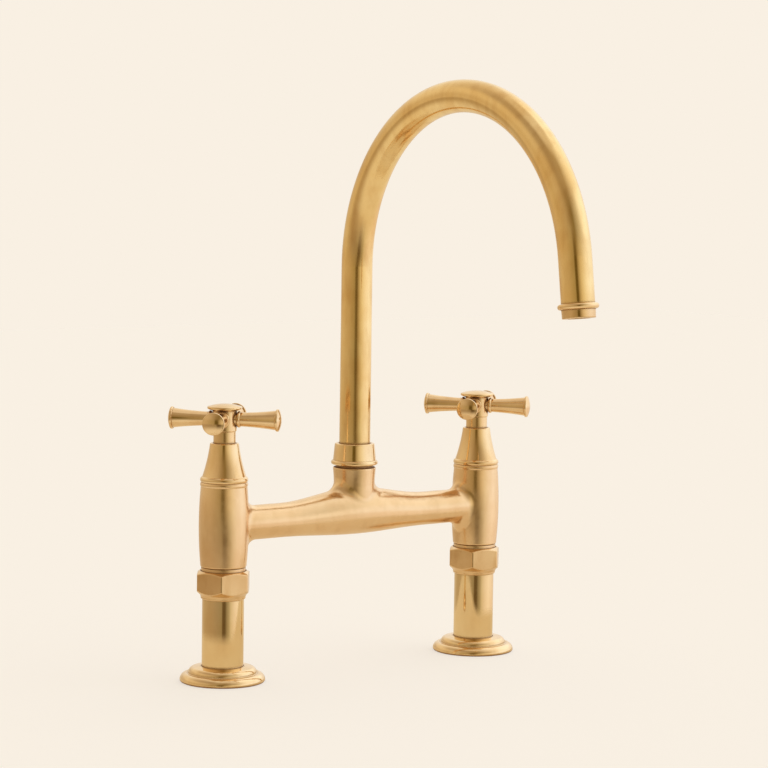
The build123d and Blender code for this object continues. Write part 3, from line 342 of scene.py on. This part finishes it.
def spring_steel():
    """Stainless steel strip, pressed and tumbled: a cool grey, softly bright."""
    return plain("stainless_steel_spring_strip", light="#C9C8C4", dark="#B4B3AF",
                 polish=(0.24, 0.36), metallic=1.0)


def moulded_rubber():
    """EPDM rubber from the mould: nearly black, with a dull skin."""
    return plain("moulded_epdm_rubber", light="#26262A", dark="#1B1B1E", polish=(0.55, 0.7))


def pressed_fibre():
    """Fibre pressed to a hard sheet and cut: reddish brown and matt, with a felted grain."""
    return plain("pressed_fibre", light="#8A4A38", dark="#763C2D", polish=(0.7, 0.85),
                 grain_mm=0.3, grain_depth_mm=0.02)


def lapped_ceramic():
    """Alumina lapped flat for the valve: off-white, with a clean wet-looking shine."""
    return plain("lapped_alumina_ceramic", light="#F0EDE6", dark="#E6E2D8", polish=(0.12, 0.2))


def moulded_acetal():
    """White acetal from the mould: a warm white, waxy rather than glossy."""
    return plain("moulded_white_acetal", light="#ECE9E0", dark="#E2DED3", polish=(0.35, 0.45))


def dress():
    """Give every piece its material."""
    turned = turned_brass()
    hexagon = hexagon_brass()
    machined = machined_brass()
    steel = spring_steel()
    rubber = moulded_rubber()
    ceramic = lapped_ceramic()
    acetal = moulded_acetal()
    wear = {"bridge_body": cast_brass(), "spout_tube": drawn_brass(), "spout_fitting": machined,
            "spout_o_rings": rubber, "swivel_bush": acetal, "spout_clip": steel,
            "spout_collar": turned, "outlet_ring": turned, "aerator_shell": hexagon,
            "aerator_insert": acetal, "aerator_washer": rubber}
    per_side = {"flange": turned, "flange_gasket": rubber, "leg": polished_brass(),
                "union_nut": hexagon, "union_washer": pressed_fibre(), "shank": machined,
                "deck_washer": rubber, "clamp_washer": steel, "mounting_nut": machined,
                "seat_seal": rubber, "fixed_disc": ceramic, "moving_disc": ceramic,
                "cartridge_body": machined, "spindle": machined, "spindle_o_rings": rubber,
                "spindle_clip": steel, "bonnet": turned, "handle_hub": turned,
                "handle_cap": turned, "handle_screw": steel}
    for side in SIDES:
        wear[side + "_handle_spokes"] = spoke_brass(side)
        wear.update({side + "_" + piece: material for piece, material in per_side.items()})
    for name, piece in nodes.items():
        piece.data.materials.clear()
        piece.data.materials.append(wear[name])


# ---- pipe thread on the shanks --------------------------------------------------------------------

THREAD_PITCH = 1.81 * MM            # fourteen turns to the inch, as on half-inch pipe
THREAD_DEPTH = 1.0 * MM
THREAD_STEPS = 32                   # faces round one turn
CREST_ALLOWANCE = 0.15 * MM         # the ridge stands this far out, and the shank cuts its crest flat
TURNS_BELOW = 2                     # spare turns under the shank
TURNS_ABOVE = 1                     # and over it, all cut off at this distance from its ends:
TRIM = THREAD_PITCH / 2
RIDGE_MERGE = 0.01 * MM             # vertices closer than this are one
SHANK_MERGE = 0.001 * MM
SHARP_EDGE = radians(30)


def select_where(piece, test):
    """In edit mode, select only the vertices whose place passes the test."""
    bpy.ops.object.mode_set(mode="OBJECT")
    for kind in (piece.data.polygons, piece.data.edges):
        kind.foreach_set("select", [False] * len(kind))
    for vertex in piece.data.vertices:
        vertex.select = test(vertex.co)
    bpy.ops.object.mode_set(mode="EDIT")


def thread_ridge(radius, low, high):
    """A solid screw about the Z axis that reaches past the heights low and high."""
    start = low - TURNS_BELOW * THREAD_PITCH
    bpy.ops.object.select_all(action="DESELECT")
    bpy.ops.mesh.primitive_plane_add(size=THREAD_PITCH, rotation=(0, pi / 2, 0), location=(
        radius - THREAD_DEPTH, THREAD_PITCH / 2, start + THREAD_PITCH / 2))
    ridge = bpy.context.object
    bpy.ops.object.transform_apply()
    bpy.ops.object.mode_set(mode="EDIT")
    bpy.ops.mesh.select_mode(type="VERT")
    select_where(ridge, lambda place: place.y > THREAD_PITCH / 2)
    bpy.ops.mesh.delete(type="VERT")
    bpy.ops.mesh.select_all(action="SELECT")
    bpy.ops.mesh.subdivide(number_cuts=1)
    select_where(ridge, lambda place: abs(place.z - start - THREAD_PITCH / 2) < THREAD_PITCH / 4)
    bpy.ops.transform.translate(value=(THREAD_DEPTH + CREST_ALLOWANCE, 0, 0))
    bpy.ops.object.mode_set(mode="OBJECT")
    screw = ridge.modifiers.new("turns", "SCREW")
    screw.screw_offset = THREAD_PITCH
    screw.iterations = ceil((high - low) / THREAD_PITCH) + TURNS_BELOW + TURNS_ABOVE
    screw.steps = screw.render_steps = THREAD_STEPS
    bpy.ops.object.modifier_apply(modifier=screw.name)
    bpy.ops.object.mode_set(mode="EDIT")
    bpy.ops.mesh.select_all(action="SELECT")
    bpy.ops.mesh.remove_doubles(threshold=RIDGE_MERGE)
    for height, outwards in ((low - TRIM, -1), (high + TRIM, 1)):
        bpy.ops.mesh.select_all(action="SELECT")
        bpy.ops.mesh.bisect(plane_co=(0, 0, height), plane_no=(0, 0, outwards), clear_outer=True,
                            use_fill=True)
    bpy.ops.mesh.select_all(action="SELECT")
    bpy.ops.mesh.normals_make_consistent(inside=False)
    bpy.ops.object.mode_set(mode="OBJECT")
    return ridge


def add_threaded_shank(side):
    """The shank with its thread: a copy of it, down to what it has in common with the ridge."""
    low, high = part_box(side + "_shank")
    ridge = thread_ridge((high[0] - low[0]) / 2, low[2], high[2])
    ridge.location.x = (low[0] + high[0]) / 2
    bpy.ops.object.transform_apply()
    shank = bpy.data.objects.new(side + "_threaded_shank", nodes[side + "_shank"].data.copy())
    bpy.context.scene.collection.objects.link(shank)
    bpy.ops.object.select_all(action="DESELECT")
    shank.select_set(True)
    bpy.context.view_layer.objects.active = shank
    bpy.ops.mesh.customdata_custom_splitnormals_clear()
    bpy.ops.object.mode_set(mode="EDIT")
    bpy.ops.mesh.select_all(action="SELECT")
    bpy.ops.mesh.remove_doubles(threshold=SHANK_MERGE)
    bpy.ops.object.mode_set(mode="OBJECT")
    cut = shank.modifiers.new("thread", "BOOLEAN")
    cut.operation = "INTERSECT"
    cut.object = ridge
    bpy.ops.object.modifier_apply(modifier=cut.name)
    bpy.data.objects.remove(ridge)
    bpy.ops.object.shade_smooth_by_angle(angle=SHARP_EDGE)
    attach(shank, "root")
    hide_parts(side + "_shank")


# ---- studio ---------------------------------------------------------------------------------------
# The room is a soft directional surround. Seen from the faucet, angles run round it from the camera,
# plus to the right: a brown wall in half shade on the left, a dark gap where the camera stands, a
# broad white diffuser on the right, and the cream backdrop behind. Its colours are linear.

BACKDROP = "#F9F0E3"

ROOM = (                            # level with the faucet
    (-180, (0.95, 0.87, 0.77)),
    (-150, (0.70, 0.58, 0.42)),
    (-107, (0.73, 0.58, 0.37)),
    (-80, (0.66, 0.52, 0.31)),
    (-55, (0.61, 0.47, 0.27)),
    (-27, (0.49, 0.38, 0.19)),
    (-13, (0.43, 0.33, 0.16)),
    (-9, (0.16, 0.11, 0.02)),
    (3, (0.14, 0.09, 0.02)),
    (10, (0.44, 0.34, 0.16)),
    (27, (0.82, 0.69, 0.44)),
    (43, (0.99, 0.90, 0.68)),
    (69, (1.12, 1.09, 1.05)),
    (100, (1.18, 1.23, 1.32)),
    (140, (1.08, 1.03, 0.96)),
    (180, (0.95, 0.87, 0.77)),
)
ROOM_BELOW = (                      # lower down, just over the edge of the table
    (-180, (0.78, 0.66, 0.50)),
    (-120, (0.56, 0.43, 0.26)),
    (-60, (0.49, 0.36, 0.21)),
    (-27, (0.42, 0.32, 0.19)),
    (-4, (0.37, 0.29, 0.16)),
    (2, (0.16, 0.10, 0.04)),
    (15, (0.15, 0.10, 0.04)),
    (24, (0.34, 0.27, 0.15)),
    (36, (0.50, 0.42, 0.26)),
    (48, (0.78, 0.67, 0.49)),
    (72, (0.98, 0.86, 0.74)),
    (95, (1.08, 0.98, 0.88)),
    (130, (0.98, 0.84, 0.72)),
    (180, (0.78, 0.66, 0.50)),
)
ROOM_ABOVE = (                      # further up
    (-180, (1.00, 0.94, 0.82)),
    (-140, (0.92, 0.80, 0.60)),
    (-107, (0.86, 0.71, 0.48)),
    (-40, (0.62, 0.49, 0.31)),
    (-4, (0.34, 0.24, 0.11)),
    (10, (0.27, 0.19, 0.07)),
    (45, (0.66, 0.57, 0.41)),
    (80, (1.14, 1.10, 1.00)),
    (125, (1.28, 1.31, 1.32)),
    (160, (1.26, 1.28, 1.26)),
    (180, (1.00, 0.94, 0.82)),
)
ROOM_HIGH = (                       # the diffuser leans over the faucet from the right and behind
    (-180, (0.94, 0.84, 0.70)),
    (-145, (0.80, 0.67, 0.50)),
    (-100, (0.56, 0.44, 0.30)),
    (-40, (0.46, 0.35, 0.22)),
    (20, (0.52, 0.41, 0.26)),
    (70, (1.00, 0.93, 0.80)),
    (115, (1.26, 1.26, 1.22)),
    (160, (1.24, 1.22, 1.16)),
    (180, (0.94, 0.84, 0.70)),
)
CEILING = (
    (-180, (0.84, 0.74, 0.60)),
    (180, (0.84, 0.74, 0.60)),
)
ROOM_LEVELS = (                     # each comes in between two heights, from -1 below to 1 overhead
    (-0.60, -0.18, ROOM_BELOW),
    (-0.15, -0.04, ROOM),
    (0.12, 0.42, ROOM_ABOVE),
    (0.50, 0.80, ROOM_HIGH),
    (0.88, 0.99, CEILING),
)
UNDER = (0.88, 0.77, 0.58, 1)               # what lies past the table's edge, further down
TABLE_PAINT = "#B3ABA0"
TABLE_GLOW = (0.41, 0.34, 0.22, 1)          # what the tabletop gives off towards the metal
TABLE_GLOW_SEEN = (0.576, 0.571, 0.553, 1)  # and towards the camera, so that it meets the backdrop
TABLE_SIZE = 6.0
TABLE_REACH = (0.15, 0.19)                  # metal mirrors it from here to there off the columns


def add_studio():
    """The plain backdrop that the camera sees, and the soft room that the metal mirrors."""
    world = bpy.data.worlds.new("studio")
    bpy.context.scene.world = world
    world.use_nodes = True
    tree = world.node_tree
    tree.nodes.clear()
    sky = add_node(tree, "ShaderNodeTexCoord").outputs["Generated"]
    axes = (level_right, -Vector((ahead.x, ahead.y, 0)).normalized())
    across, towards = [
        add_node(tree, "ShaderNodeVectorMath", {"operation": "DOT_PRODUCT", 1: axis},
                 {0: sky}).outputs["Value"] for axis in axes]
    angle = add_node(tree, "ShaderNodeMath", {"operation": "ARCTAN2"}, {0: across, 1: towards})
    share_of_turn = add_node(tree, "ShaderNodeMath",
                             {"operation": "MULTIPLY_ADD", 1: 1 / (2 * pi), 2: 0.5},
                             {0: angle.outputs[0]})
    height = add_node(tree, "ShaderNodeSeparateXYZ", links={"Vector": sky}).outputs["Z"]
    under = add_node(tree, "ShaderNodeRGB")
    under.outputs[0].default_value = UNDER
    room = under.outputs[0]
    for start, end, colours in ROOM_LEVELS:
        around = add_node(tree, "ShaderNodeValToRGB",
                          {"stops": [(degrees / 360 + 0.5, (*rgb, 1)) for degrees, rgb in colours]},
                          {"Fac": share_of_turn.outputs[0]})
        share = add_node(tree, "ShaderNodeMapRange", {
            "interpolation_type": "SMOOTHSTEP", "From Min": start, "From Max": end},
            {"Value": height})
        blend = add_node(tree, "ShaderNodeMix", {"data_type": "RGBA"}, {
            "Factor": share.outputs["Result"], 6: room, 7: around.outputs["Color"]})
        room = blend.outputs[2]
    seen = add_node(tree, "ShaderNodeLightPath").outputs["Is Camera Ray"]
    colour = add_node(tree, "ShaderNodeMix", {"data_type": "RGBA", 7: linear(BACKDROP)},
                      {"Factor": seen, 6: room})
    background = add_node(tree, "ShaderNodeBackground", links={"Color": colour.outputs[2]})
    add_node(tree, "ShaderNodeOutputWorld", links={"Surface": background.outputs[0]})


def add_table():
    """A pale matt tabletop. It keeps the soft shadow, and glows just enough to meet the backdrop."""
    bpy.ops.object.select_all(action="DESELECT")
    bpy.ops.mesh.primitive_plane_add(size=TABLE_SIZE, location=(0, 0, 0))
    table = bpy.context.object
    table.name = "tabletop"
    material = bpy.data.materials.new("matt_painted_tabletop")
    material.use_nodes = True
    tree = material.node_tree
    tree.nodes.clear()
    light_path = add_node(tree, "ShaderNodeLightPath")
    paint = add_node(tree, "ShaderNodeBsdfDiffuse", {"Color": linear(TABLE_PAINT)})
    shade = add_node(tree, "ShaderNodeMix", {"data_type": "RGBA", 6: TABLE_GLOW, 7: TABLE_GLOW_SEEN},
                     {"Factor": light_path.outputs["Is Camera Ray"]})
    glow = add_node(tree, "ShaderNodeEmission", links={"Color": shade.outputs[2]})
    top = add_node(tree, "ShaderNodeAddShader", links={0: paint.outputs[0], 1: glow.outputs[0]})
    place = add_node(tree, "ShaderNodeTexCoord").outputs["Object"]
    split = add_node(tree, "ShaderNodeSeparateXYZ", links={"Vector": place})
    aside = add_node(tree, "ShaderNodeMath", {"operation": "ABSOLUTE"}, {0: split.outputs["X"]})
    beyond = add_node(tree, "ShaderNodeMath", {"operation": "SUBTRACT", 1: column_x("right")},
                      {0: aside.outputs[0]})
    outside = add_node(tree, "ShaderNodeMath", {"operation": "MAXIMUM", 1: 0.0},
                       {0: beyond.outputs[0]})
    away = add_node(tree, "ShaderNodeCombineXYZ",
                    links={"X": outside.outputs[0], "Y": split.outputs["Y"]})
    far = add_node(tree, "ShaderNodeVectorMath", {"operation": "LENGTH"}, {0: away.outputs[0]})
    past = add_node(tree, "ShaderNodeMapRange",
                    {"From Min": TABLE_REACH[0], "From Max": TABLE_REACH[1]},
                    {"Value": far.outputs["Value"]})
    gone = add_node(tree, "ShaderNodeMath", {"operation": "MULTIPLY"},
                    {0: past.outputs[0], 1: light_path.outputs["Is Glossy Ray"]})
    clear = add_node(tree, "ShaderNodeBsdfTransparent")
    surface = add_node(tree, "ShaderNodeMixShader", links={0: gone.outputs[0], 1: top.outputs[0],
                                                           2: clear.outputs[0]})
    add_node(tree, "ShaderNodeOutputMaterial", links={"Surface": surface.outputs[0]})
    table.data.materials.append(material)


bpy.context.scene.view_settings.view_transform = "Standard"
add_camera()
add_studio()
add_table()
dress()
for side in SIDES:
    add_threaded_shank(side)
